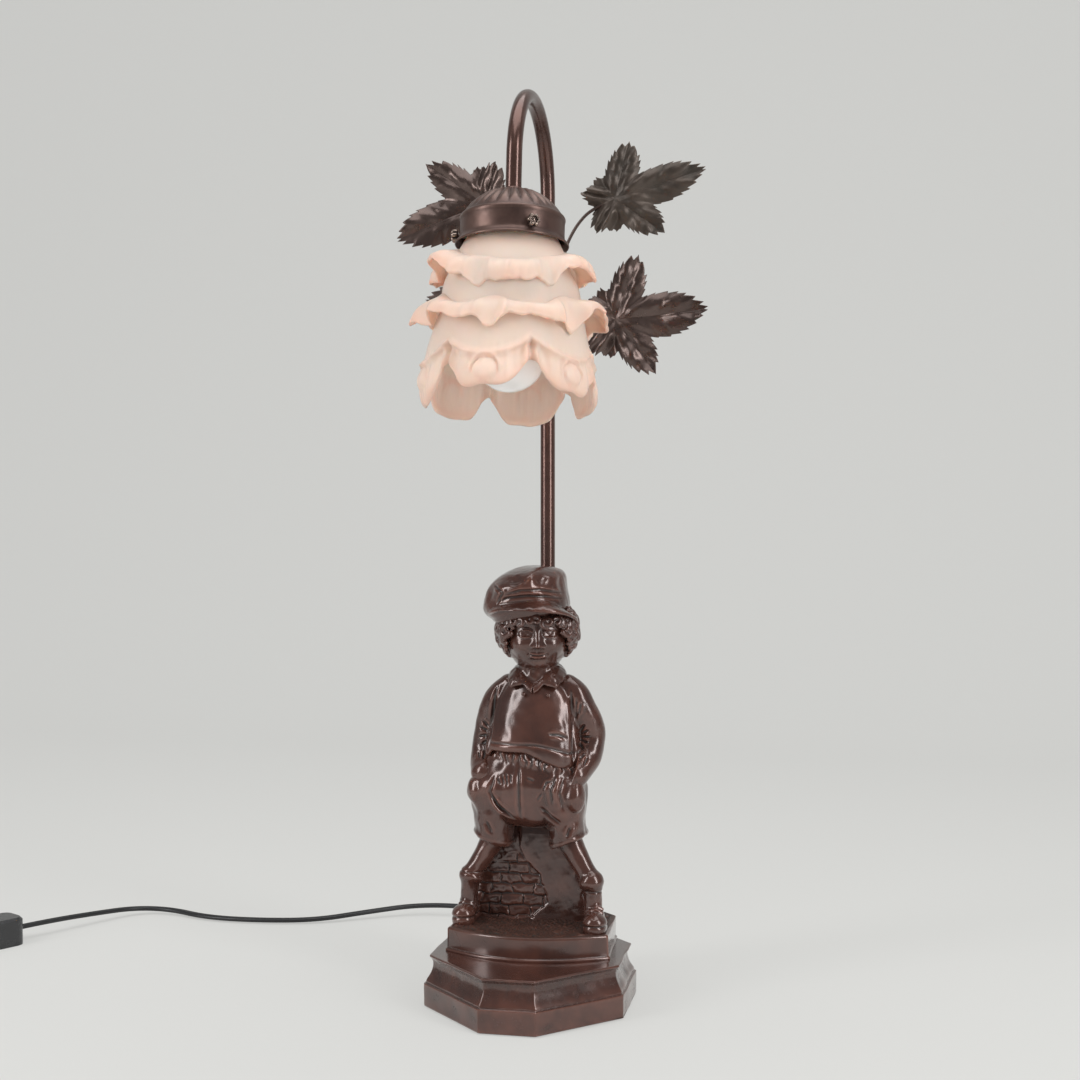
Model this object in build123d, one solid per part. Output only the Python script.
"""Figural table lamp: a boy in a flat cap on a moulded plinth, with a gooseneck tube that carries
a frosted glass flower shade, four stamped leaves on wire stems, and a lead with an in-line switch.

Millimetres. The origin is the middle of the felt under the base, +Z is up, the boy faces -Y.
Each sub-part has its own function, and the list at the end writes one STEP file per sub-part.
"""
import os
from math import atan2, cos, degrees, hypot, pi, radians, sin, sqrt, tan

from build123d import *

# ---------------------------------------------------------------- driving dimensions
# Lower base: a long octagon whose corners are cut at 45 degrees.
BASE_HALF_WIDTH = 65.7
BASE_HALF_DEPTH = 76.3
BASE_FRONT_HALF = 18.1  # half of the narrow front face
BASE_HEIGHT = 34.0
BAND_HEIGHT = 14.8  # plain band under the cove
BAND_EDGE = 0.8
LEDGE = 1.6  # flat step on top of the band
COVE_DEEP = 6.0  # deepest point of the cove, in from the band
TOP_INSET = 3.2
TOP_LIP = 2.0
BASE_WALL = 9.0
BASE_TOP = 10.0  # thickness over the wiring space
RIM = 4.0  # rim round the cover plate
FOOT_GAP = 0.6  # the felt lifts the casting off the table
FELT = 2.0
PLATE = 1.6
FIT = 0.3  # gap round a laid-in plate
BOSS_RADIUS = 4.5
BOSS_X = 46.0
BOSS_Y = 29.0
COVER_SCREW_RADIUS = 1.45
COVER_SCREW_LENGTH = 9.0
COVER_HEAD_RADIUS = 2.9

# Upper plinth and figure: one casting.
PLINTH_HALF_FRONT = 53.5
PLINTH_HALF_REAR = 50.5
PLINTH_FRONT_Y = -15.0
PLINTH_REAR_Y = 37.5
PLINTH_BOW = 18.0
PLINTH_REAR_BOW = 27.0
PLINTH_HEIGHT = 15.6
PLINTH_EDGE = 1.2
FIGURE_HEIGHT = 237.0  # from the plinth top to the crown of the cap
WALL_LEFT = -40.0
WALL_RIGHT = 27.0
WALL_TOP = 60.0
WALL_FRONT_Y = 20.0
WALL_DEPTH = 16.0
SOCKET_RADIUS = 9.5  # boss behind the wall that receives the tube
SOCKET_HEIGHT = 30.0
WALL_SIDE = 22.0  # height of the wall's straight left edge
WALL_SHOULDER = 12.0  # how far in its top has risen to about three quarters
HEAD_SHARE = 0.80  # heights of the head, cap and visor as shares of the figure's
CAP_SHARE = 0.925
VISOR_SHARE = 0.865
VISOR = 3.2
SHOULDER_X = 24.0
SOCK_RADIUS = 8.6
SHOE_RADIUS = 7.2
LEFT_LIMBS = {  # places across and back; the elbow's third number is its height share
    "elbow": (-37, 22, 0.47),
    "cuff": (-38, 9),
    "knee": (-30, 14),
    "ankle": (-44, 9),
    "toe": (-45, -1),
}
RIGHT_LIMBS = {
    "elbow": (37, 22, 0.505),
    "cuff": (32, 7),
    "knee": (24, 12),
    "ankle": (39, 4),
    "toe": (43, -7),
}
FIGURE_BOLT_RADIUS = 2.5
FIGURE_BOLT_Y = 2.0
FIGURE_BOLT_GRIP = 14.0

# Tube and gooseneck.
TUBE_RADIUS = 5.0
TUBE_WALL = 1.0
TUBE_Y = 54.65
TUBE_CLEARANCE = 0.15
BEND_RADIUS = 54.0
BEND_START_Z = 538.0
NECK_TILT = 6.5  # degrees short of a half turn, so the shade swings forward
NECK_STRAIGHT = 23.3  # from the bend to the top of the gallery
TUBE_END = 15.0  # how far the tube runs on into the lampholder
NUT_FLATS = 14.0
NUT_HEIGHT = 4.0
WASHER_RADIUS = 10.0
WASHER = 1.5
SOCKET_RING_RADIUS = 8.0
SOCKET_RING_HEIGHT = 4.0
NECK_RING_RADIUS = 6.6
NECK_RING_HEIGHT = 2.0

# Shade gallery, measured down the tilted axis from its top.
SHEET = 0.8
DOME_TOP_RADIUS = 8.5
DOME_DEPTH = 13.5
BAND_RADIUS = 32.6
GALLERY_BAND_END = 33.0
LIP_RADIUS = 34.5
GALLERY_DEPTH = 36.0
SCREW_DEPTH = 27.5
SCREW_TURN = 33.0  # degrees from the front, then every 120
SCREW_RADIUS = 1.45
SCREW_CLEARANCE = 0.08
SCREW_HEAD_RADIUS = 3.3
SCREW_HEAD = 4.4
SCREW_HEAD_GAP = 1.3
SCREW_TIP_GAP = 0.35

# Shade: a blown flower with three tiers of petals.
GLASS = 2.6
FITTER_RADIUS = 28.5
FITTER_START = 16.5
FITTER_END = 20.0
SHADE_NECK_RADIUS = 27.0
SHADE_NECK_END = 33.0
SHADE_END = 144.0
SHADE_BODY = [(35.8, 52.0), (40.2, 66.0), (45.6, 97.0), (49.5, 120.0), (53.0, 144.0)]
TIER_ONE = (30.0, 41.0, 51.5, 55.0)  # root radius, root depth, tip radius, tip depth
TIER_TWO = (41.5, 76.0, 57.5, 93.0)
TIER_THREE = (45.5, 100.0, 56.0, 126.0)
TIER_TIP = 1.5
PETALS = 6
PETAL_NOTCH = 9.0

# Lampholder and bulb, on the same tilted axis. The bulb is a 45 mm globe with a 14 mm screw cap.
HOLDER_START = 8.5
HOLDER_SHOULDER = 22.0
HOLDER_END = 68.0
HOLDER_RADIUS = 13.5
HOLDER_WALL = 1.2
INSERT_START = 30.0
INSERT_FLOOR = 43.0
INSERT_END = 66.0
THREAD_SHELL_RADIUS = 7.7
THREAD_SHELL_WALL = 0.5
CAP_RADIUS = 6.9
CAP_END = 72.0
BULB_CONTACT_START = 46.0
CAP_START = 51.0
GLOBE_RADIUS = 22.5
BULB_END = 126.0
BULB_NECK_RADIUS = 10.5
BULB_GLASS = 1.2
CONTACT_GAP = 0.3

# Leaves and their stems.
CLIP_Z = 462.0
CLIP_HEIGHT = 12.0
CLIP_RADIUS = 8.0
LUG_REACH = 11.0
LUG_HALF = 2.0
EAR_START = CLIP_RADIUS - 1.0
EAR_REACH = 6.6
EAR_HALF = 2.5
CLIP_SLIT = 0.8
CLIP_SCREW_RADIUS = 1.25
CLIP_SCREW_HEAD_RADIUS = 2.2
CLIP_SCREW_HEAD = 1.6
CLIP_SCREW_REACH = CLIP_RADIUS + CLIP_SCREW_HEAD_RADIUS + 0.4  # keeps the head off the ring
STEM_RADIUS = 1.1
LEAF_SHEET = 0.8
LEAF_LOBES = [(0, 63.0), (62, 45.0), (138, 26.0), (-138, 26.0), (-62, 45.0)]  # angle, reach
LEAF_EDGE = [(0.0, 0.04), (0.3, 0.15), (0.55, 0.21), (0.8, 0.13), (1.0, 0.0)]  # shares of a lobe's reach
LEAF_HEART = 8.0
LEAF_PLANE_Y = 49.7
FRONT_LEAF_Y = 44.7  # the lower left leaf reaches across the tube, in front of the clip
LEAF_GAP = 0.05  # solder film between a stem and its leaf

# Lead, switch and plug.
CORD = 5.4
CORD_EXIT_Z = 9.0
BUSHING_RADIUS = 4.0
BUSHING_FLANGE = 5.2
BUSHING_FLANGE_DEPTH = 1.6
BUSHING_LENGTH = 24.0
BUSHING_TIP_RADIUS = 3.4
FLEX_RADIUS = 2.2
FLEX_BEND = 9.0
SWITCH_LENGTH = 66.0
SWITCH_WIDTH = 26.0
SWITCH_HEIGHT = 20.5
SWITCH_SPLIT = 10.0
SWITCH_WALL = 2.0
SWITCH_CORNER = 8.0
SWITCH_HEADING = 240.0  # degrees from +X, the way the lead runs through it
SWITCH_START = (-408.5, 67.4)
SWITCH_CORD_Z = 10.0
ROCKER_LENGTH = 21.0
ROCKER_WIDTH = 11.0
ROCKER_TILT = 8.0
ROCKER_GAP = 0.5
ROCKER_PROUD = 1.6  # how far its ends stand above the cover
ROCKER_DIP = 1.4
ROCKER_SKIRT = 0.5
ROCKER_KEEL = 3.6
ROCKER_KEEL_HALF = 3.0
PIVOT_RADIUS = 1.2
PIVOT_CLEARANCE = 0.06
PIVOT_Z = 16.0
PIVOT_REACH = 2.0  # how far each end of the pivot goes into its cheek
CHEEK = 2.4
CHEEK_LENGTH = 9.0
SWITCH_BEVEL = 2.0
SWITCH_SCREW_X = 22.0
SWITCH_SCREW_RADIUS = 1.2
SWITCH_HEAD_RADIUS = 2.2
SWITCH_HEAD_TOP = 1.6
SWITCH_POST_RADIUS = 3.4
SWITCH_THREAD = 5.0
TERMINAL = (8.0, 4.0, 5.0)
TERMINAL_X = 12.0
TERMINAL_Y = 4.0
TERMINAL_BORE = 1.2
PLUG_WIDTH = 35.3
PLUG_THICK = 13.7
PLUG_LENGTH = 37.0
PLUG_NECK = (15.0, 10.5)
PLUG_CORNER = 5.0
PLUG_TAIL_WALL = 0.8
PLUG_RELIEF = 22.0
PLUG_Z = 7.2
PIN_RADIUS = 2.0
PIN_LENGTH = 19.0
PIN_PITCH = 18.6

# Put-away coil: two layers that spiral in and out again.
COIL_PITCH = 5.9
COIL_OUTER = 39.5
COIL_TURNS = 2.6  # turns inwards; the way out takes a little less
COIL_BOTTOM_Z = 3.7
TIE = 0.8
TIE_WIDTH = 12.0

# Places on the lead, chosen by hand. The first and last lie on the pieces that they meet.
LEAD_ROUTE = [
    (0.0, 100.3, 9.0),
    (0.0, 122.0, 9.0),
    (-12.0, 158.0, 8.6),
    (-44.0, 190.0, 8.2),
    (-89.0, 204.0, 8.4),
    (-134.0, 204.0, 8.0),
    (-171.0, 182.0, 5.6),
    (-205.0, 160.0, 3.0),
    (-247.0, 151.0, 2.7),
    (-293.0, 151.0, 2.8),
    (-330.0, 167.0, 3.6),
    (-358.0, 159.0, 5.2),
    (-375.0, 129.0, 7.6),
    (-394.65, 91.39, 10.0),
    (-408.5, 67.4, 10.0),
]

# ---------------------------------------------------------------- worked-out places
BASE_SIDE_HALF = BASE_HALF_DEPTH - (BASE_HALF_WIDTH - BASE_FRONT_HALF)
BASE_CORNER_DISTANCE = (BASE_FRONT_HALF + BASE_HALF_DEPTH) / sqrt(2)
CAVITY_TOP = BASE_HEIGHT - BASE_TOP
PLATE_TOP = FELT + PLATE
GROUND = BASE_HEIGHT + PLINTH_HEIGHT
TUBE_BOTTOM = CAVITY_TOP - WASHER - NUT_HEIGHT - 0.5
BORE_RADIUS = TUBE_RADIUS + TUBE_CLEARANCE
DOWN = Vector(0, -sin(radians(NECK_TILT)), -cos(radians(NECK_TILT)))
BEND_END = Vector(
    0,
    TUBE_Y - BEND_RADIUS - BEND_RADIUS * cos(radians(NECK_TILT)),
    BEND_START_Z + BEND_RADIUS * sin(radians(NECK_TILT)),
)
GALLERY_TOP = BEND_END + DOWN * NECK_STRAIGHT
LAMP_AXIS = Plane(origin=GALLERY_TOP, x_dir=(1, 0, 0), z_dir=-DOWN).location
HEADING = Vector(cos(radians(SWITCH_HEADING)), sin(radians(SWITCH_HEADING)), 0)
RIGHT_HAND = Vector(HEADING.Y, -HEADING.X, 0)
SWITCH_NEAR = Vector(*SWITCH_START, 0)
SWITCH_FAR = SWITCH_NEAR + HEADING * SWITCH_LENGTH
SWITCH_PLACE = Location(SWITCH_NEAR + HEADING * (SWITCH_LENGTH / 2), (0, 0, SWITCH_HEADING))
TAIL_ROUTE = [(0.0, 10.0), (14.0, 10.0), (32.0, 5.6), (50.0, COIL_BOTTOM_Z), (63.0, COIL_BOTTOM_Z)]
COIL_START = SWITCH_FAR + HEADING * TAIL_ROUTE[-1][0]
COIL_CENTRE = COIL_START + RIGHT_HAND * COIL_OUTER
COIL_START_ANGLE = degrees(atan2(-RIGHT_HAND.Y, -RIGHT_HAND.X))
COIL_END_ANGLE = 180.0
COIL_TOP_Z = COIL_BOTTOM_Z + COIL_PITCH
COIL_END = COIL_CENTRE + Vector(-COIL_OUTER, 0, 0)
PLUG_TAIL = [(0.0, COIL_TOP_Z), (11.0, COIL_TOP_Z), (23.0, 8.2), (35.0, PLUG_Z), (45.0, PLUG_Z)]
PLUG_START = COIL_END + Vector(0, PLUG_TAIL[-1][0] + CORD, PLUG_Z)


# ---------------------------------------------------------------- shared shapes
def octagon(inset, bottom, top):
    """Prism of the base's octagon, drawn in by inset on every side."""
    corner = inset * tan(radians(22.5))
    x, y = BASE_HALF_WIDTH - inset, BASE_HALF_DEPTH - inset
    front, side = BASE_FRONT_HALF - corner, BASE_SIDE_HALF - corner
    quarter = [(front, y), (x, side)]
    points = quarter + [(a, -b) for a, b in reversed(quarter)]
    points += [(-a, -b) for a, b in points]
    return Pos(0, 0, bottom) * extrude(make_face(Polyline(*points, close=True)), top - bottom)


def spun(*points):
    """Solid of revolution about the lamp axis, from (radius, depth) pairs down the axis."""
    return LAMP_AXIS * revolve(outline(points), Axis.Z, 360)


def outline(points):
    """Closed face in the XZ plane from (radius, depth) pairs, depth counted down."""
    return make_face(Polyline(*[(r, 0, -depth) for r, depth in points], close=True))


def rod(start, end, start_radius, end_radius):
    """Round-ended tapered limb between two points."""
    start, end = Vector(*start), Vector(*end)
    place = Plane(origin=start, z_dir=end - start).location
    length = (end - start).length
    limb = Pos(0, 0, length / 2) * Cone(start_radius, end_radius, length)
    limb = limb + Sphere(start_radius) + Pos(0, 0, length) * Sphere(end_radius)
    return place * limb


def stacked(*rings):
    """Loft through level ellipses, each given as (x, y, z, half width, half depth)."""
    faces = [Pos(x, y, z) * Ellipse(a, b) for x, y, z, a, b in rings]
    return loft(faces)


def egg(x, y, z, a, b, c):
    """Ellipsoid with half axes a, b and c, lofted from five level ellipses and capped flat."""
    levels = [-0.96, -0.7, 0.0, 0.7, 0.96]
    return stacked(*[(x, y, z + c * k, a * sqrt(1 - k * k), b * sqrt(1 - k * k)) for k in levels])


def hex_nut(flats, height, bore):
    """Plain hexagon nut standing on z = 0."""
    nut = extrude(RegularPolygon(flats / 2, 6, major_radius=False), height)
    return nut - Pos(0, 0, height / 2) * Cylinder(bore, 2 * height)


def routed(points, radii):
    """Path of straight runs with a tangent arc at each inner point."""
    return FilletPolyline(*points, radius=radii)


def run_radii(points):
    """Largest tidy arc at each inner point: 0.45 of the shorter run over the tangent of half the turn."""
    points = [Vector(*p) for p in points]
    radii = []
    for before, here, after in zip(points, points[1:], points[2:]):
        first, second = here - before, after - here
        turn = radians(first.get_angle(second))
        radii.append(0.45 * min(first.length, second.length) / tan(turn / 2))
    return radii


def tube_along(path, radius):
    """Round bar swept along a path."""
    section = Plane(origin=path @ 0, z_dir=path % 0) * Circle(radius)
    return sweep(section, path=path)


# ---------------------------------------------------------------- base
def moulding_face(distance):
    """Half of the base's outline towards a face that lies at a distance from the middle."""
    top_out = distance - TOP_INSET
    cove_foot = (distance - LEDGE, BAND_HEIGHT)
    cove_head = (top_out, BASE_HEIGHT - TOP_LIP)
    cove_mid = (distance - COVE_DEEP, BAND_HEIGHT + 0.5 * (cove_head[1] - BAND_HEIGHT))
    lower = Polyline(
        (0, FOOT_GAP),
        (distance, FOOT_GAP),
        (distance, BAND_HEIGHT - BAND_EDGE),
        (distance - BAND_EDGE, BAND_HEIGHT),
        cove_foot,
    )
    cove = ThreePointArc(cove_foot, cove_mid, cove_head)
    upper = Polyline(cove_head, (top_out, BASE_HEIGHT), (0, BASE_HEIGHT), (0, FOOT_GAP))
    return make_face(lower + cove + upper)


def moulding_bar(distance, turn):
    """The moulding carried straight through, to be crossed with the other three directions."""
    half = Plane.XZ * moulding_face(distance)
    bar = extrude(half, 2 * BASE_HALF_DEPTH, both=True)
    return Rot(0, 0, turn) * (bar + mirror(bar, Plane.YZ))


def boss_places():
    return [(x, y) for x in (-BOSS_X, BOSS_X) for y in (-BOSS_Y, BOSS_Y)]


def base_plinth():
    body = moulding_bar(BASE_HALF_WIDTH, 0) & moulding_bar(BASE_HALF_DEPTH, 90)
    body = body & moulding_bar(BASE_CORNER_DISTANCE, 45) & moulding_bar(BASE_CORNER_DISTANCE, 135)
    body -= octagon(RIM, -1, PLATE_TOP)
    body -= octagon(BASE_WALL, -1, CAVITY_TOP)
    boss_height = CAVITY_TOP - PLATE_TOP
    for x, y in boss_places():
        body += Pos(x, y, PLATE_TOP + boss_height / 2) * Cylinder(BOSS_RADIUS, boss_height)
        body -= Pos(x, y, PLATE_TOP) * Cylinder(COVER_SCREW_RADIUS + 0.05, 2 * COVER_SCREW_LENGTH)
    body -= Pos(0, TUBE_Y, BASE_HEIGHT) * Cylinder(BORE_RADIUS, 4 * BASE_TOP)
    body -= Pos(0, FIGURE_BOLT_Y, BASE_HEIGHT) * Cylinder(FIGURE_BOLT_RADIUS + FIT, 4 * BASE_TOP)
    wall_middle = Pos(0, BASE_HALF_DEPTH, CORD_EXIT_Z) * Rot(90, 0, 0)
    body -= wall_middle * Cylinder(BUSHING_RADIUS + 0.1, 4 * BASE_WALL)
    return body


def base_cover():
    plate = octagon(RIM + FIT, FELT, PLATE_TOP)
    for x, y in boss_places():
        plate -= Pos(x, y, FELT + PLATE / 2) * Cone(COVER_HEAD_RADIUS, COVER_SCREW_RADIUS + 0.1, PLATE)
    return plate


def felt_pad():
    return octagon(RIM + FIT, 0, FELT)


def cover_screws():
    """Four countersunk screws, shown with the cross slot left out because the felt hides it."""
    screws = []
    for x, y in boss_places():
        head = Pos(x, y, FELT + PLATE / 2) * Cone(COVER_HEAD_RADIUS - 0.1, COVER_SCREW_RADIUS, PLATE)
        length = COVER_SCREW_LENGTH - PLATE
        screws.append(head + Pos(x, y, PLATE_TOP + length / 2) * Cylinder(COVER_SCREW_RADIUS, length))
    return Compound(screws)


def figure_bolt():
    """Hexagon bolt from the wiring space up into the figure, which keeps it from turning."""
    head_height = 3.5
    shank = FIGURE_BOLT_GRIP + BASE_TOP
    head = extrude(RegularPolygon(4.0, 6, major_radius=False), head_height)
    bolt = head + Pos(0, 0, head_height + shank / 2) * Cylinder(FIGURE_BOLT_RADIUS, shank)
    return Pos(0, FIGURE_BOLT_Y, CAVITY_TOP - head_height) * bolt


# ---------------------------------------------------------------- figure
def plinth_block():
    """Bow-fronted block under the boy, with straight sides and a deeper bow at the back."""
    front_left, front_right = (-PLINTH_HALF_FRONT, PLINTH_FRONT_Y), (PLINTH_HALF_FRONT, PLINTH_FRONT_Y)
    rear_left, rear_right = (-PLINTH_HALF_REAR, PLINTH_REAR_Y), (PLINTH_HALF_REAR, PLINTH_REAR_Y)
    edge = ThreePointArc(front_left, (0, PLINTH_FRONT_Y - PLINTH_BOW), front_right)
    edge += Line(front_right, rear_right)
    edge += ThreePointArc(rear_right, (0, PLINTH_REAR_Y + PLINTH_REAR_BOW), rear_left)
    edge += Line(rear_left, front_left)
    block = Pos(0, 0, BASE_HEIGHT) * extrude(make_face(edge), PLINTH_HEIGHT)
    return chamfer(block.faces().sort_by(Axis.Z)[-1].edges(), PLINTH_EDGE)


def wall_stub():
    """Broken end of a brick wall behind the legs, rounded at the top."""
    left, right, peak = WALL_LEFT, WALL_RIGHT, WALL_TOP
    left_rise, right_rise = (left + WALL_SHOULDER, 0.72 * peak), (right - WALL_SHOULDER - 2, 0.74 * peak)
    top = Spline((left, WALL_SIDE), left_rise, (-9, peak), right_rise, (right, WALL_SIDE - 2))
    sides = Polyline((right, WALL_SIDE - 2), (right + 1, -2), (left - 2, -2), (left, WALL_SIDE))
    face = Plane.XZ * make_face(top + sides)
    return Pos(0, WALL_FRONT_Y + WALL_DEPTH, GROUND) * extrude(face, WALL_DEPTH)


def boy(h):
    """The boy from simple limbs. h is a height above the ground as a share of the whole figure."""
    shapes = [*shorts_and_sweater(h), *head_and_cap(h)]
    for side, limbs in ((-1, LEFT_LIMBS), (1, RIGHT_LIMBS)):
        shapes += [*arm(h, side, limbs), *leg(h, side, limbs)]
    return shapes


def shorts_and_sweater(h):
    """Level ellipses as (x, y, height, half width, half depth), from the crotch up to the collar."""
    return [
        stacked((-2, 15, h(0.29), 25, 17), (-2, 15, h(0.36), 38, 22), (-2, 15, h(0.43), 34, 22)),
        stacked((-1, 16, h(0.42), 30, 20), (-1, 15, h(0.55), 29, 21), (0, 16, h(0.63), 25, 17)),
        stacked((0, 16, h(0.62), 25, 17), (0, 16, h(0.665), 15, 13)),
    ]


def head_and_cap(h):
    """Neck, head, hair at the sides, a puffed cap that tips to the left and its visor."""
    cap = Rot(6, -10, 0) * egg(0, 0, 0, 31, 31, 19)
    visor = Rot(-12, -2, 8) * extrude(Ellipse(27, 18), VISOR)
    return [
        rod((-1, 15, h(0.63)), (0, 15, h(0.75)), 13, 12),
        egg(0, 13, h(HEAD_SHARE), 24, 25, 27),
        egg(0, 16, h(HEAD_SHARE), 28, 25, 17),
        Pos(-4, 15, h(CAP_SHARE)) * cap,
        Pos(2, -8, h(VISOR_SHARE)) * visor,
    ]


def arm(h, side, limbs):
    """Sleeve from the shoulder to the elbow and down to the cuff at the pocket."""
    elbow_x, elbow_y, elbow_share = limbs["elbow"]
    cuff_x, cuff_y = limbs["cuff"]
    elbow = (elbow_x, elbow_y, h(elbow_share))
    return [
        rod((side * SHOULDER_X, 17, h(0.615)), elbow, 9.6, 9),
        rod(elbow, (cuff_x, cuff_y, h(0.405)), 9, 7.5),
    ]


def leg(h, side, limbs):
    """Leg of the shorts, shin, rolled sock and laced shoe."""
    knee, ankle, toe = limbs["knee"], limbs["ankle"], limbs["toe"]
    trouser = stacked(
        (side * 19, 15, h(0.36), 19, 20),
        (side * 21 + knee[0] * 0.1, 14, h(0.29), 18, 18),
        (knee[0], 13, h(0.215), 14, 14),
    )
    heel, tip = (toe[0], toe[1] + 17, GROUND + 6), (toe[0], toe[1] + 4, GROUND + 5.5)
    return [
        trouser,
        rod((*knee, h(0.23)), (*ankle, h(0.135)), 8, 7),
        Pos(*ankle, h(0.125)) * Sphere(SOCK_RADIUS),
        rod((*ankle, h(0.12)), (toe[0], ankle[1] - 1, h(0.03)), 7, 6.8),
        rod(heel, tip, 6.5, SHOE_RADIUS),
    ]


def figure_casting():
    body = plinth_block()
    ground_level = Pos(0, 0, BASE_HEIGHT / 2) * Box(300, 300, BASE_HEIGHT + PLINTH_HEIGHT)
    for shape in boy(lambda share: GROUND + share * FIGURE_HEIGHT):
        body += shape - ground_level if shape.bounding_box().min.Z < GROUND else shape
    body += wall_stub()
    socket_length = SOCKET_HEIGHT + PLINTH_HEIGHT
    body += Pos(0, TUBE_Y, BASE_HEIGHT + socket_length / 2) * Cylinder(SOCKET_RADIUS, socket_length)
    body -= Pos(0, TUBE_Y, BASE_HEIGHT + 150) * Cylinder(BORE_RADIUS, 304)
    bolt_hole = FIGURE_BOLT_GRIP + 1
    body -= Pos(0, FIGURE_BOLT_Y, BASE_HEIGHT) * Cylinder(FIGURE_BOLT_RADIUS + 0.05, 2 * bolt_hole)
    return body


# ---------------------------------------------------------------- tube
def stem_path(start_z, past_gallery):
    """Centre line of the tube: up, over the gooseneck and down into the gallery."""
    start, bend = (0, TUBE_Y, start_z), (0, TUBE_Y, BEND_START_Z)
    middle = Vector(0, TUBE_Y - BEND_RADIUS, BEND_START_Z)
    half = radians(90 - NECK_TILT / 2)
    crown = middle + Vector(0, BEND_RADIUS * cos(half), BEND_RADIUS * sin(half))
    end = GALLERY_TOP + DOWN * past_gallery
    return Line(start, bend) + ThreePointArc(bend, crown, BEND_END) + Line(BEND_END, end)


def stem_tube():
    path = stem_path(TUBE_BOTTOM, TUBE_END)
    tube = tube_along(path, TUBE_RADIUS) - tube_along(path, TUBE_RADIUS - TUBE_WALL)
    area = pi * (TUBE_RADIUS**2 - (TUBE_RADIUS - TUBE_WALL) ** 2)
    print(f"stem tube: volume over section times length {tube.volume / (area * path.length):.4f}")
    return tube


def stem_nut():
    place = Pos(0, TUBE_Y, CAVITY_TOP - WASHER - NUT_HEIGHT)
    return place * hex_nut(NUT_FLATS, NUT_HEIGHT, TUBE_RADIUS + 0.05)


def stem_washer():
    ring = Cylinder(WASHER_RADIUS, WASHER) - Cylinder(BORE_RADIUS, 2 * WASHER)
    return Pos(0, TUBE_Y, CAVITY_TOP - WASHER / 2) * ring


def socket_ring():
    """Dark ring where the tube leaves its socket behind the wall."""
    ring = Cylinder(SOCKET_RING_RADIUS, SOCKET_RING_HEIGHT)
    ring -= Cylinder(BORE_RADIUS, 2 * SOCKET_RING_HEIGHT)
    return Pos(0, TUBE_Y, GROUND + SOCKET_HEIGHT + SOCKET_RING_HEIGHT / 2) * ring


def inner_flex():
    """Two-core flex from the bushing, up inside the tube and into the lampholder."""
    inside_end = (0, TUBE_Y + FLEX_BEND + 2, CORD_EXIT_Z)
    turn_start = (0, TUBE_Y + FLEX_BEND, CORD_EXIT_Z)
    turn_end = (0, TUBE_Y, CORD_EXIT_Z + FLEX_BEND)
    path = Line(inside_end, turn_start) + TangentArc(turn_start, turn_end, tangent=(0, -1, 0))
    path += stem_path(CORD_EXIT_Z + FLEX_BEND, INSERT_START - FIT)
    return tube_along(path, FLEX_RADIUS)


# ---------------------------------------------------------------- gallery and screws
def neck_ring():
    ring = [(TUBE_RADIUS + 0.05, 0), (TUBE_RADIUS + 0.05, -NECK_RING_HEIGHT)]
    return spun(*ring, (NECK_RING_RADIUS - 0.8, -NECK_RING_HEIGHT), (NECK_RING_RADIUS, 0))


def gallery_nut():
    nut = Pos(0, 0, -SHEET - NUT_HEIGHT) * hex_nut(NUT_FLATS, NUT_HEIGHT, TUBE_RADIUS + 0.05)
    return LAMP_AXIS * nut


def gallery_skin(grow):
    """Outline of the pressed cup: dome, band and lip, drawn in by grow."""
    shoulder = BAND_RADIUS - 1.4
    dome_mid = (0.66 * BAND_RADIUS, 0, -(0.34 * DOME_DEPTH + grow))
    dome_edge = (shoulder - grow, 0, -(DOME_DEPTH - 1.4 + 0.6 * grow))
    top = Polyline((BORE_RADIUS, 0, -grow), (DOME_TOP_RADIUS, 0, -grow))
    dome = ThreePointArc((DOME_TOP_RADIUS, 0, -grow), dome_mid, dome_edge)
    side = Polyline(
        dome_edge,
        (BAND_RADIUS - grow, 0, -(DOME_DEPTH + 0.6 * grow)),
        (BAND_RADIUS - grow, 0, -GALLERY_BAND_END),
        (LIP_RADIUS - grow, 0, -(GALLERY_DEPTH - 0.8)),
        (LIP_RADIUS - grow, 0, -GALLERY_DEPTH),
    )
    return top, dome, side


def shade_gallery():
    outer, inner = gallery_skin(0), gallery_skin(SHEET)
    ends = [Line(outer[0] @ 0, inner[0] @ 0), Line(outer[2] @ 1, inner[2] @ 1)]
    cup = revolve(make_face([*outer, *inner, *ends]), Axis.Z, 360)
    for turn in screw_turns():
        cup -= Rot(0, 0, turn) * Pos(0, -BAND_RADIUS, -SCREW_DEPTH) * Rot(90, 0, 0) * Cylinder(
            SCREW_RADIUS + SCREW_CLEARANCE, 12
        )
    return LAMP_AXIS * cup


def screw_turns():
    return [SCREW_TURN + 120 * k for k in (0, 1, 2)]


def gallery_screw(turn):
    """Thumb screw: a shank that stops short of the glass and a round fluted head."""
    tip = SHADE_NECK_RADIUS + SCREW_TIP_GAP
    head = BAND_RADIUS + SCREW_HEAD_GAP
    shank = Pos(0, 0, (tip + head) / 2) * Cylinder(SCREW_RADIUS, head - tip)
    knob = Pos(0, 0, head + SCREW_HEAD / 2) * Cylinder(SCREW_HEAD_RADIUS, SCREW_HEAD)
    for k in range(6):
        knob -= Rot(0, 0, 60 * k) * Pos(SCREW_HEAD_RADIUS + 0.3, 0, head + 2) * Cylinder(0.7, 12)
    screw = shank + knob
    return LAMP_AXIS * Rot(0, 0, turn) * Pos(0, 0, -SCREW_DEPTH) * Rot(90, 0, 0) * screw


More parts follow.
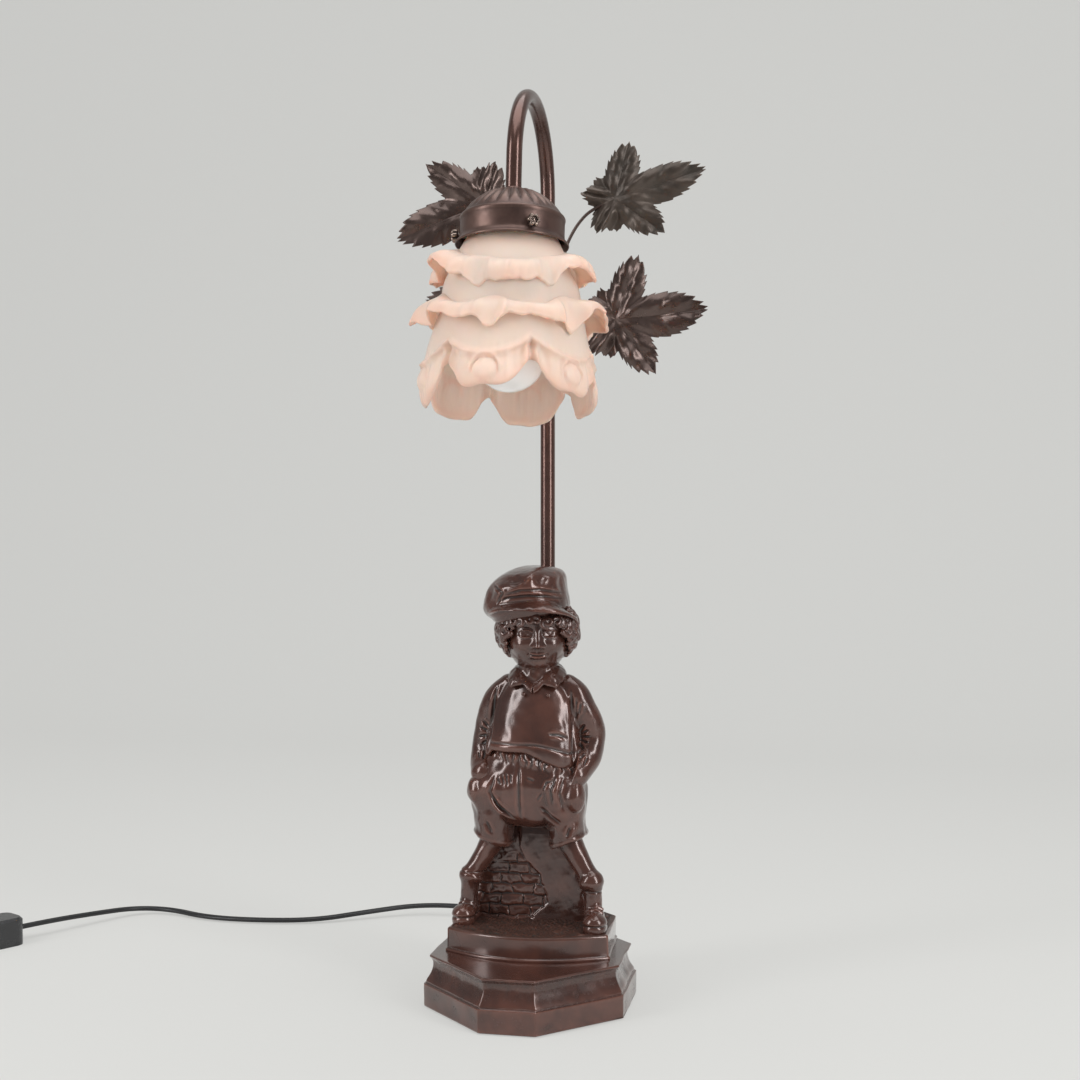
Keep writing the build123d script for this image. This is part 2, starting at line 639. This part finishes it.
# ---------------------------------------------------------------- shade
def tier(root_radius, root_depth, tip_radius, tip_depth):
    """One flaring ring of petals, thinning to its tip."""
    slope = hypot(tip_radius - root_radius, tip_depth - root_depth)
    across = Vector(tip_depth - root_depth, tip_radius - root_radius) * (1 / slope)
    points = [
        (root_radius - GLASS, root_depth),
        (root_radius + 1, root_depth - 1),
        (tip_radius, tip_depth),
        (tip_radius - TIER_TIP * across.X, tip_depth + TIER_TIP * across.Y),
        (root_radius, root_depth + 5),
    ]
    return revolve(outline(points), Axis.Z, 360)


def shade_glass():
    neck = [
        (SHADE_NECK_RADIUS - GLASS, FITTER_START),
        (FITTER_RADIUS, FITTER_START),
        (FITTER_RADIUS, FITTER_END),
        (SHADE_NECK_RADIUS, FITTER_END + 1),
        (SHADE_NECK_RADIUS, SHADE_NECK_END),
    ]
    outer_points = [(SHADE_NECK_RADIUS, SHADE_NECK_END), *SHADE_BODY]
    inner_points = [(r - GLASS, depth) for r, depth in outer_points]
    outer = Spline(*[(r, 0, -depth) for r, depth in outer_points])
    inner = Spline(*[(r, 0, -depth) for r, depth in inner_points])
    rim = Line(outer @ 1, inner @ 1)
    collar = Polyline(*[(r, 0, -depth) for r, depth in neck])
    bore = Line(inner @ 0, collar @ 0)
    glass = revolve(make_face([collar, outer, rim, inner, bore]), Axis.Z, 360)
    for ring in (TIER_ONE, TIER_TWO, TIER_THREE):
        glass += tier(*ring)
    for k in range(PETALS):
        notch = Rot(0, 0, (k + 0.5) * 360 / PETALS) * Pos(SHADE_BODY[-1][0], 0, -SHADE_END - 2)
        glass -= notch * Rot(0, 90, 0) * Cylinder(PETAL_NOTCH, 30)
    return LAMP_AXIS * glass


# ---------------------------------------------------------------- lampholder and bulb
def lampholder_cap():
    hole = TUBE_RADIUS + 0.05
    return spun(
        (hole, HOLDER_START),
        (HOLDER_RADIUS - 5, HOLDER_START),
        (HOLDER_RADIUS, HOLDER_SHOULDER - 6),
        (HOLDER_RADIUS, HOLDER_SHOULDER),
        (HOLDER_RADIUS - HOLDER_WALL, HOLDER_SHOULDER),
        (HOLDER_RADIUS - HOLDER_WALL, TUBE_END + 1),
        (hole, TUBE_END + 1),
    )


def lampholder_shell():
    inner, outer = HOLDER_RADIUS - HOLDER_WALL, HOLDER_RADIUS
    return spun(
        (inner, HOLDER_SHOULDER),
        (outer, HOLDER_SHOULDER),
        (outer, HOLDER_END - 4),
        (outer + 1, HOLDER_END - 3),
        (outer + 1, HOLDER_END),
        (THREAD_SHELL_RADIUS + 0.6, HOLDER_END),
        (THREAD_SHELL_RADIUS + 0.6, INSERT_END),
        (inner, INSERT_END),
    )


def lampholder_insert():
    """Insulating core that holds the threaded shell and the centre contact."""
    outer, bore = HOLDER_RADIUS - HOLDER_WALL - 0.1, THREAD_SHELL_RADIUS + 0.05
    return spun(
        (0, INSERT_START), (outer, INSERT_START), (outer, INSERT_END), (bore, INSERT_END),
        (bore, INSERT_FLOOR), (0, INSERT_FLOOR),
    )  # fmt: skip


def thread_shell():
    inner = THREAD_SHELL_RADIUS - THREAD_SHELL_WALL
    start, end = INSERT_FLOOR, INSERT_END - 0.5
    return spun((inner, start), (THREAD_SHELL_RADIUS, start), (THREAD_SHELL_RADIUS, end), (inner, end))


def centre_contact():
    """Bent brass tongue on the floor of the insert."""
    top = BULB_CONTACT_START - CONTACT_GAP
    foot = Pos(0, 0, -(INSERT_FLOOR + 0.25)) * Box(9, 3.5, 0.5)
    post = Pos(0, 0, -(INSERT_FLOOR + top) / 2) * Box(3.0, 3.0, top - INSERT_FLOOR)
    return LAMP_AXIS * (foot + post)


def bulb_glass():
    """Opal globe and its neck, a thin shell open towards the cap."""
    middle = BULB_END - GLOBE_RADIUS
    inner_radius = GLOBE_RADIUS - BULB_GLASS
    reach = 9.0  # where the neck leaves the globe, above its middle
    lean = sqrt(GLOBE_RADIUS**2 - (GLOBE_RADIUS - reach) ** 2)
    inner_lean = sqrt(inner_radius**2 - (GLOBE_RADIUS - reach) ** 2)
    join = -(middle - (GLOBE_RADIUS - reach))
    neck_inner = BULB_NECK_RADIUS - BULB_GLASS
    outer = [
        Line((BULB_NECK_RADIUS, 0, -CAP_END), (lean, 0, join)),
        ThreePointArc((lean, 0, join), (GLOBE_RADIUS, 0, -middle), (0, 0, -BULB_END)),
    ]
    inner = [
        Line((neck_inner, 0, -CAP_END), (inner_lean, 0, join)),
        ThreePointArc((inner_lean, 0, join), (inner_radius, 0, -middle), (0, 0, -BULB_END + BULB_GLASS)),
    ]
    ends = [Line(outer[1] @ 1, inner[1] @ 1), Line(outer[0] @ 0, inner[0] @ 0)]
    return LAMP_AXIS * revolve(make_face([*outer, *inner, *ends]), Axis.Z, 360)


def bulb_cap():
    """Screw cap: a thin cup whose flare takes the glass."""
    skin, foot, neck = 0.5, CAP_START + 1, CAP_END - 4
    return spun(
        (0, CAP_START),
        (CAP_RADIUS - 1, CAP_START),
        (CAP_RADIUS, foot),
        (CAP_RADIUS, neck),
        (BULB_NECK_RADIUS, CAP_END),
        (BULB_NECK_RADIUS - 2 * skin, CAP_END),
        (CAP_RADIUS - skin, neck + skin),
        (CAP_RADIUS - skin, foot),
        (0, foot),
    )


def bulb_contact():
    return spun((0, BULB_CONTACT_START), (2.4, BULB_CONTACT_START), (4.6, CAP_START), (0, CAP_START))


# ---------------------------------------------------------------- leaves
def spray_clip():
    """Split ring on the tube with a lug on each side for the stems and two ears at the back."""
    middle = CLIP_Z + CLIP_HEIGHT / 2
    body = Cylinder(CLIP_RADIUS, CLIP_HEIGHT) + Box(2 * LUG_REACH, 2 * LUG_HALF, CLIP_HEIGHT)
    body += Pos(0, EAR_START + EAR_REACH / 2, 0) * Box(2 * EAR_HALF, EAR_REACH, CLIP_HEIGHT)
    body -= Cylinder(TUBE_RADIUS + 0.05, 2 * CLIP_HEIGHT)
    body -= Pos(0, EAR_START + EAR_REACH / 2, 0) * Box(CLIP_SLIT, 2 * EAR_REACH, 2 * CLIP_HEIGHT)
    body -= Pos(0, CLIP_SCREW_REACH, 0) * Rot(0, 90, 0) * Cylinder(CLIP_SCREW_RADIUS + 0.05, 30)
    return Pos(0, TUBE_Y, middle) * body


def clip_screw():
    """Screw through both ears, its head on the right one."""
    grip = 2 * EAR_HALF
    screw = Cylinder(CLIP_SCREW_RADIUS, grip)
    screw += Pos(0, 0, (grip + CLIP_SCREW_HEAD) / 2) * Cylinder(CLIP_SCREW_HEAD_RADIUS, CLIP_SCREW_HEAD)
    return Pos(0, TUBE_Y + CLIP_SCREW_REACH, CLIP_Z + CLIP_HEIGHT / 2) * Rot(0, 90, 0) * screw


def leaf_base_points():
    """Where each leaf sits (x, y, z) and which way its long lobe points, seen from the front."""
    return {
        "upper_right": (47.8, LEAF_PLANE_Y, 534.6, 14.0),
        "lower_right": (47.8, LEAF_PLANE_Y, 452.6, 4.5),
        "upper_left": (-44.6, LEAF_PLANE_Y, 535.4, 205.0),
        "lower_left": (-20.0, FRONT_LEAF_Y, 456.0, 168.0),
    }


def leaf_lobe(angle, reach):
    """Pointed lobe from the heart of the leaf."""
    upper = [(reach * along, reach * half) for along, half in LEAF_EDGE]
    lower = [(along, -half) for along, half in reversed(upper[:-1])]
    lobe = extrude(Plane.XZ * make_face(Polyline(*upper, *lower, close=True)), LEAF_SHEET)
    return Rot(0, -angle, 0) * lobe


def leaf(x, y, z, turn):
    """Flat five-lobed leaf facing the front; turn is the long lobe's angle from +X."""
    plate = extrude(Plane.XZ * Circle(LEAF_HEART), LEAF_SHEET)
    for angle, reach in LEAF_LOBES:
        plate += leaf_lobe(angle, reach)
    return Pos(x, y, z) * Rot(0, -turn, 0) * plate


def stem_points():
    """Route of each wire from its lug to the back of its leaf."""
    top, side_z = CLIP_Z + CLIP_HEIGHT, CLIP_Z + 4
    lug = LUG_REACH - STEM_RADIUS - 0.5
    behind = LEAF_PLANE_Y + STEM_RADIUS + LEAF_GAP
    front = FRONT_LEAF_Y + STEM_RADIUS + LEAF_GAP
    return {
        "upper_right": [
            (lug, TUBE_Y, top),
            (lug, TUBE_Y, 497),
            (20, 53.5, 519),
            (34, 52, 531),
            (49, behind, 534),
        ],
        "lower_right": [
            (LUG_REACH, TUBE_Y, side_z),
            (20, TUBE_Y, side_z),
            (33, 52.5, 456),
            (49, behind, 453),
        ],
        "upper_left": [
            (-lug, TUBE_Y, top),
            (-lug, TUBE_Y, 500),
            (-19, 53.5, 522),
            (-33, 52, 533),
            (-46, behind, 536),
        ],
        "lower_left": [
            (-LUG_REACH, TUBE_Y, side_z),
            (-16, TUBE_Y, side_z),
            (-21, 49.5, 462),
            (-24, front, 457),
        ],
    }


def leaf_stem(points):
    return tube_along(routed(points, run_radii(points)), STEM_RADIUS)


# ---------------------------------------------------------------- lead
def cord_bushing():
    """Rubber strain relief: a collar through the wall, a flange and a tapering tail."""
    wall_out = BASE_HALF_DEPTH
    inside = wall_out - BASE_WALL - 1.5
    collar = Cylinder(BUSHING_RADIUS, wall_out - inside)
    flange = Cylinder(BUSHING_FLANGE, BUSHING_FLANGE_DEPTH)
    tail = Cone(BUSHING_RADIUS + 0.6, BUSHING_TIP_RADIUS, BUSHING_LENGTH - BUSHING_FLANGE_DEPTH)
    relief = Pos(0, 0, (inside + wall_out) / 2) * collar
    relief += Pos(0, 0, wall_out + BUSHING_FLANGE_DEPTH / 2) * flange
    relief += Pos(0, 0, wall_out + (BUSHING_LENGTH + BUSHING_FLANGE_DEPTH) / 2) * tail
    return Pos(0, 0, CORD_EXIT_Z) * Rot(-90, 0, 0) * relief


def report_cord(name, points, radii, solid, path):
    area = pi * (CORD / 2) ** 2
    ratio = solid.volume / (area * path.length)
    print(f"{name}: length {path.length:.1f}, volume over section times length {ratio:.4f}")
    print("  arc radii", [round(r, 1) for r in radii])
    print("  runs", [round((Vector(*b) - Vector(*a)).length, 1) for a, b in zip(points, points[1:])])


def free_cord(name, points):
    """Free stretch of the lead: straight runs joined by the largest tidy arcs."""
    radii = run_radii(points)
    path = routed(points, radii)
    solid = tube_along(path, CORD / 2)
    report_cord(name, points, radii, solid, path)
    return solid


def lead_points():
    first = (0, BASE_HALF_DEPTH + BUSHING_LENGTH, CORD_EXIT_Z)
    return [first, *LEAD_ROUTE[1:-1], (*SWITCH_START, SWITCH_CORD_Z)]


def tail_points():
    return [tuple(SWITCH_FAR + HEADING * along + Vector(0, 0, z)) for along, z in TAIL_ROUTE]


def plug_tail_points():
    return [tuple(COIL_END + Vector(0, CORD + along, z)) for along, z in PLUG_TAIL]


def coil_place(turned):
    """Point of the coil's centre line after a number of turns: in, up a layer, and out again."""
    out_turns = coil_turns() - COIL_TURNS - 0.5
    if turned <= COIL_TURNS:
        radius, z = COIL_OUTER - COIL_PITCH * turned, COIL_BOTTOM_Z
    elif turned <= COIL_TURNS + 0.5:
        climb = 2 * (turned - COIL_TURNS)
        radius = COIL_OUTER - COIL_PITCH * (COIL_TURNS + 0.5 * climb * (1 - climb))
        z = COIL_BOTTOM_Z + COIL_PITCH * climb
    else:
        share = (turned - COIL_TURNS - 0.5) / out_turns
        radius, z = COIL_OUTER - COIL_PITCH * COIL_TURNS * (1 - share), COIL_TOP_Z
    angle = radians(COIL_START_ANGLE - 360 * turned)
    return COIL_CENTRE + Vector(radius * cos(angle), radius * sin(angle), z)


def coil_turns():
    """All turns of the coil, so that it ends at its end angle with the way out no tighter than the way in."""
    most = 2 * COIL_TURNS + 0.5
    return most - (most - (COIL_START_ANGLE - COIL_END_ANGLE) / 360) % 1.0


def coil_tangent(turned):
    step = 0.002
    low, high = max(0.0, turned - step), min(coil_turns(), turned + step)
    if turned <= step:
        return HEADING
    if turned >= coil_turns() - step:
        return Vector(0, 1, 0)
    return (coil_place(high) - coil_place(low)).normalized()


def biarc(start, start_way, end, end_way):
    """Two arcs that join two points and keep the given directions at both."""
    gap, ways = end - start, start_way + end_way
    spare = 2 * (1 - start_way.dot(end_way))
    across = gap.dot(ways)
    reach = (-across + sqrt(across**2 + spare * gap.dot(gap))) / spare
    joint = (start + end + (start_way - end_way) * reach) * 0.5
    first = TangentArc(start, joint, tangent=start_way)
    return [first, TangentArc(joint, end, tangent=first % 1)]


def cord_coil():
    total = coil_turns()
    steps = round(4 * total)
    marks = [total * k / steps for k in range(steps + 1)]
    first, last = coil_place(0), coil_place(total)
    pieces = []
    for a, b in zip(marks, marks[1:]):
        pieces += biarc(coil_place(a), coil_tangent(a), coil_place(b), coil_tangent(b))
    pieces.append(Line(last, last + Vector(0, CORD, 0)))
    path = Wire(pieces)
    solid = tube_along(path, CORD / 2)
    gap = least_gap([path @ (k / 700) for k in range(701)], path.length / 700)
    area = pi * (CORD / 2) ** 2
    print(f"coil: {total:.2f} turns, length {path.length:.1f}, least gap {gap:.2f}")
    print(f"  volume over section times length {solid.volume / (area * path.length):.4f}")
    return solid


def least_gap(points, step):
    """Least clearance of the round lead to itself, for points more than 60 mm apart along it."""
    apart = int(60 / step)
    least = min(
        (points[i] - points[j]).length
        for i in range(len(points))
        for j in range(i + apart, len(points))
    )
    return least - CORD


def cord_tie():
    """Strap round the bundle of turns, on the side away from the plug."""
    inner = COIL_OUTER - COIL_PITCH * COIL_TURNS - CORD / 2 - FIT
    outer = COIL_OUTER + CORD / 2 + FIT
    bottom, top = COIL_BOTTOM_Z - CORD / 2 - 0.1, COIL_TOP_Z + CORD / 2 + 0.1
    width, height = outer - inner, top - bottom
    middle = Pos((inner + outer) / 2, 0, (bottom + top) / 2)
    strap = Box(width + 2 * TIE, TIE_WIDTH, height + 2 * TIE)
    strap -= Box(width, 2 * TIE_WIDTH, height)
    return Location(COIL_CENTRE) * Rot(0, 0, -110) * middle * strap


# ---------------------------------------------------------------- switch
def switch_block(inset, bottom, top):
    """Round-cornered block on the switch's own axes, drawn in by inset."""
    length, width = SWITCH_LENGTH - 2 * inset, SWITCH_WIDTH - 2 * inset
    face = RectangleRounded(length, width, SWITCH_CORNER - inset)
    return Pos(0, 0, bottom) * extrude(face, top - bottom)


def switch_base():
    shell = switch_block(0, 0, SWITCH_SPLIT) - switch_block(SWITCH_WALL, SWITCH_WALL, 2 * SWITCH_SPLIT)
    for x in (-SWITCH_SCREW_X, SWITCH_SCREW_X):
        shell += Pos(x, 0, SWITCH_SPLIT / 2) * Cylinder(SWITCH_POST_RADIUS, SWITCH_SPLIT)
        shell -= Pos(x, 0, 0) * Cylinder(SWITCH_SCREW_RADIUS + 0.1, 4 * SWITCH_SPLIT)
        shell -= Pos(x, 0, 0) * Cylinder(SWITCH_HEAD_RADIUS + 0.2, 2 * SWITCH_HEAD_TOP)
    return SWITCH_PLACE * shell


def switch_cover():
    shell = switch_block(0, SWITCH_SPLIT, SWITCH_HEIGHT)
    shell = chamfer(shell.faces().sort_by(Axis.Z)[-1].edges(), SWITCH_BEVEL)
    ceiling = SWITCH_HEIGHT - SWITCH_WALL
    shell -= switch_block(SWITCH_WALL, 0, ceiling)
    for x in (-SWITCH_SCREW_X, SWITCH_SCREW_X):
        post = Cylinder(SWITCH_POST_RADIUS, ceiling - SWITCH_SPLIT)
        shell += Pos(x, 0, (SWITCH_SPLIT + ceiling) / 2) * post
        shell -= Pos(x, 0, SWITCH_SPLIT) * Cylinder(SWITCH_SCREW_RADIUS + 0.05, 2 * SWITCH_THREAD)
    window = (ROCKER_LENGTH + 2 * ROCKER_GAP, ROCKER_WIDTH + 2 * ROCKER_GAP)
    cheek_bottom = SWITCH_SPLIT + 1
    for y in (-1, 1):
        place = (0, y * (window[1] + CHEEK) / 2, (ceiling + cheek_bottom) / 2)
        shell += Pos(*place) * Box(CHEEK_LENGTH, CHEEK, ceiling - cheek_bottom)
    shell -= Pos(0, 0, SWITCH_HEIGHT) * Box(*window, 6 * SWITCH_WALL)
    hole = Cylinder(PIVOT_RADIUS + PIVOT_CLEARANCE, ROCKER_WIDTH + 2 * (PIVOT_REACH + FIT))
    shell -= Pos(0, 0, PIVOT_Z) * Rot(90, 0, 0) * hole
    return SWITCH_PLACE * shell


def switch_rocker():
    """Rocker with a shallow V on top, on its pivot, resting with one end down."""
    half, crown = ROCKER_LENGTH / 2, SWITCH_HEIGHT - PIVOT_Z + ROCKER_PROUD
    top = [(-half, crown), (0, crown - ROCKER_DIP), (half, crown)]
    keel = [(ROCKER_KEEL_HALF, -ROCKER_KEEL), (-ROCKER_KEEL_HALF, -ROCKER_KEEL)]
    side = Polyline((-half, -ROCKER_SKIRT), *top, (half, -ROCKER_SKIRT), *keel, close=True)
    body = extrude(Plane.XZ * make_face(side), ROCKER_WIDTH / 2, both=True)
    body = body & (Rot(90, 0, 0) * Cylinder(half - 0.1, 2 * SWITCH_WIDTH))
    body += Rot(90, 0, 0) * Cylinder(PIVOT_RADIUS, ROCKER_WIDTH + 2 * PIVOT_REACH)
    return SWITCH_PLACE * Pos(0, 0, PIVOT_Z) * Rot(0, ROCKER_TILT, 0) * body


def switch_terminals():
    """Two brass terminal blocks on the floor of the switch."""
    length, width, height = TERMINAL
    block = Box(*TERMINAL) - Rot(90, 0, 0) * Cylinder(TERMINAL_BORE, 4 * width)
    middle_z = SWITCH_WALL + height / 2
    places = [Pos(x, TERMINAL_Y, middle_z) for x in (-TERMINAL_X, TERMINAL_X)]
    return Compound([SWITCH_PLACE * place * block for place in places])


def switch_screws():
    """Two screws up through the posts of the base into those of the cover."""
    screws = []
    top = SWITCH_SPLIT + SWITCH_THREAD - 1
    head_bottom = SWITCH_HEAD_TOP - 1
    for x in (-SWITCH_SCREW_X, SWITCH_SCREW_X):
        screw = Pos(0, 0, (head_bottom + SWITCH_HEAD_TOP) / 2) * Cylinder(SWITCH_HEAD_RADIUS, 1)
        screw += Pos(0, 0, (SWITCH_HEAD_TOP + top) / 2) * Cylinder(SWITCH_SCREW_RADIUS, top - SWITCH_HEAD_TOP)
        screws.append(SWITCH_PLACE * Pos(x, 0, 0) * screw)
    return Compound(screws)


# ---------------------------------------------------------------- plug
def plug_place():
    """The plug's own axes: its pins point along +Y of the model."""
    return Location(PLUG_START + Vector(0, PLUG_RELIEF, 0))


def plug_body():
    """Flat two-pin plug body, waisted towards the tapering tail on the lead."""
    shapes = (
        (0, RectangleRounded(*PLUG_NECK, 4.0)),
        (0.45 * PLUG_LENGTH, RectangleRounded(PLUG_WIDTH - 3, PLUG_THICK, PLUG_CORNER)),
        (PLUG_LENGTH, RectangleRounded(PLUG_WIDTH, PLUG_THICK, PLUG_CORNER)),
    )
    sections = [Plane(origin=(0, y, 0), x_dir=(1, 0, 0), z_dir=(0, 1, 0)) * face for y, face in shapes]
    body = loft(sections, ruled=True)
    tail = Cone(CORD / 2 + PLUG_TAIL_WALL, PLUG_NECK[1] / 2 - 0.25, PLUG_RELIEF)
    return plug_place() * (body + Pos(0, -PLUG_RELIEF / 2, 0) * Rot(-90, 0, 0) * tail)


def plug_pins():
    pins = []
    for x in (-1, 1):
        pin = Cylinder(PIN_RADIUS, PIN_LENGTH)
        place = Pos(x * PIN_PITCH / 2, PLUG_LENGTH + PIN_LENGTH / 2, 0) * Rot(90, 0, 0)
        pins.append(plug_place() * place * pin)
    return Compound(pins)


# ---------------------------------------------------------------- all sub-parts
def sub_parts():
    parts = {
        "base_plinth": base_plinth(),
        "base_cover": base_cover(),
        "felt_pad": felt_pad(),
        "cover_screws": cover_screws(),
        "figure_bolt": figure_bolt(),
        "figure_casting": figure_casting(),
        "stem_tube": stem_tube(),
        "stem_nut": stem_nut(),
        "stem_washer": stem_washer(),
        "socket_ring": socket_ring(),
        "inner_flex": inner_flex(),
        "neck_ring": neck_ring(),
        "gallery_nut": gallery_nut(),
        "shade_gallery": shade_gallery(),
        "shade_glass": shade_glass(),
        "lampholder_cap": lampholder_cap(),
        "lampholder_shell": lampholder_shell(),
        "lampholder_insert": lampholder_insert(),
        "thread_shell": thread_shell(),
        "centre_contact": centre_contact(),
        "bulb_glass": bulb_glass(),
        "bulb_cap": bulb_cap(),
        "bulb_contact": bulb_contact(),
        "spray_clip": spray_clip(),
        "clip_screw": clip_screw(),
        "cord_bushing": cord_bushing(),
        "cord_lead": free_cord("lead", lead_points()),
        "cord_tail": free_cord("tail", tail_points()),
        "cord_coil": cord_coil(),
        "cord_end": free_cord("end", plug_tail_points()),
        "cord_tie": cord_tie(),
        "switch_base": switch_base(),
        "switch_cover": switch_cover(),
        "switch_rocker": switch_rocker(),
        "switch_terminals": switch_terminals(),
        "switch_screws": switch_screws(),
        "plug_body": plug_body(),
        "plug_pins": plug_pins(),
    }
    for number, turn in enumerate(screw_turns(), 1):
        parts[f"gallery_screw_{number}"] = gallery_screw(turn)
    for name, (x, y, z, turn) in leaf_base_points().items():
        parts[f"leaf_{name}"] = leaf(x, y, z, turn)
    for name, points in stem_points().items():
        parts[f"leaf_stem_{name}"] = leaf_stem(points)
    return parts


os.makedirs("parts", exist_ok=True)
for name, shape in sub_parts().items():
    shape.label = name
    export_step(shape, f"parts/{name}.step")
